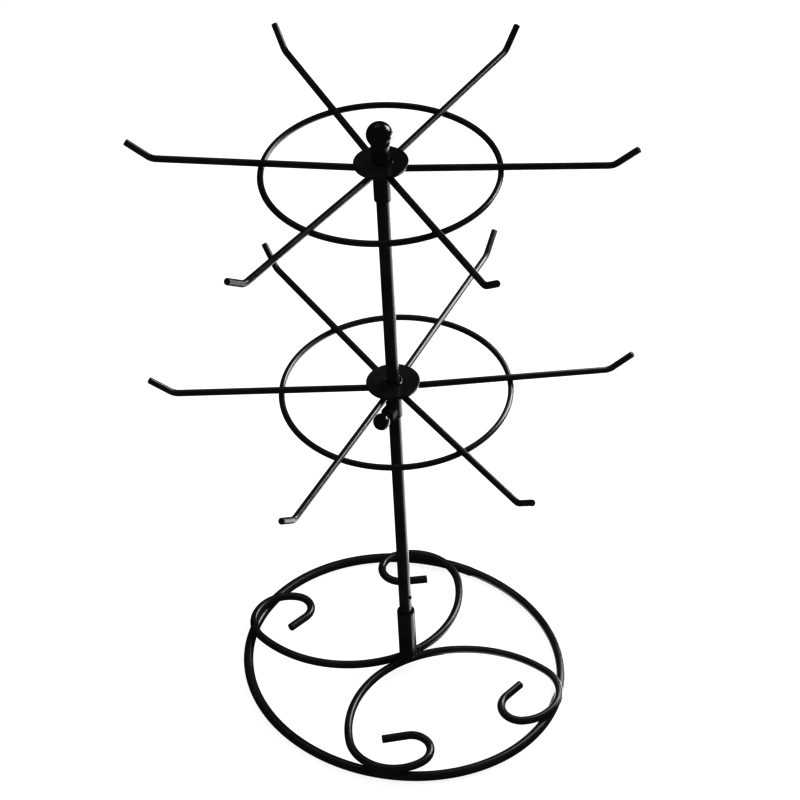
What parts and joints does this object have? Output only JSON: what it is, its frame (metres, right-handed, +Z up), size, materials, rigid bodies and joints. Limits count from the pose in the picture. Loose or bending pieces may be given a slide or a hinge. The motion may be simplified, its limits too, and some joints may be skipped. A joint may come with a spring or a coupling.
{
  "type": "mug tree",
  "caption": "Revolving wire mug tree: upturned arms on hooped hubs around a central pole, a height-adjustable lower tier, ball knobs and a scrolled hoop base.",
  "frame": {"origin": "on the floor under the pole's axis, 3 mm from the middle of the base hoop", "axes": "+Z up along the pole; +X to the right and +Y away, seen from the side that shows the thumb screw in front of the pole and to its left"},
  "size_m": [0.2891, 0.2657, 0.4248],
  "materials": {
    "black_enamel": "gloss black enamel over steel wire, tube and sheet",
    "black_plastic": "glossy moulded black plastic",
    "dark_steel": "blackened steel thread",
    "nylon": "matte black nylon"
  },
  "bodies": {
    "base": {"base_ring": "black_enamel", "scroll_rear": "black_enamel", "scroll_front": "black_enamel", "socket_tube": "black_enamel", "socket_welds": "black_enamel", "pivot_seat": "nylon", "socket_bush": "nylon"},
    "spindle": {"pole_tube": "black_enamel", "pole_foot": "nylon", "stop_bead": "black_enamel", "upper_sleeve": "black_enamel", "upper_disc": "black_enamel", "upper_ring": "black_enamel", "upper_arm_1": "black_enamel", "upper_arm_2": "black_enamel", "upper_arm_3": "black_enamel", "upper_arm_4": "black_enamel", "upper_arm_5": "black_enamel", "upper_arm_6": "black_enamel"},
    "finial": {"finial_knob": "black_plastic", "finial_stud": "dark_steel"},
    "lower_tier": {"lower_sleeve": "black_enamel", "lower_disc": "black_enamel", "lower_ring": "black_enamel", "lower_arm_1": "black_enamel", "lower_arm_2": "black_enamel", "lower_arm_3": "black_enamel", "lower_arm_4": "black_enamel", "lower_arm_5": "black_enamel", "lower_arm_6": "black_enamel", "thumb_nut": "black_enamel"},
    "thumb": {"thumb_screw": "dark_steel", "thumb_knob": "black_plastic"}
  },
  "joints": [
    {"name": "spindle_spin", "type": "hinge", "parent": "base", "child": "spindle", "pos_m": [0, 0, 0.0141], "axis": [0, 0, 1], "continuous": true},
    {"name": "lower_tier_height", "type": "slide", "parent": "spindle", "child": "lower_tier", "axis": [0, 0, 1], "range_m": [-0.145, 0.128]},
    {"name": "thumb_screw_turn", "type": "hinge", "parent": "lower_tier", "child": "thumb", "pos_m": [-0.00466, -0.00746, 0.2205], "axis": [-0.5299, -0.848, 0], "range_deg": [0, 1080]},
    {"name": "finial_turn", "type": "hinge", "parent": "spindle", "child": "finial", "pos_m": [0, 0, 0.3998], "axis": [0, 0, 1], "range_deg": [0, 1800]}
  ]
}
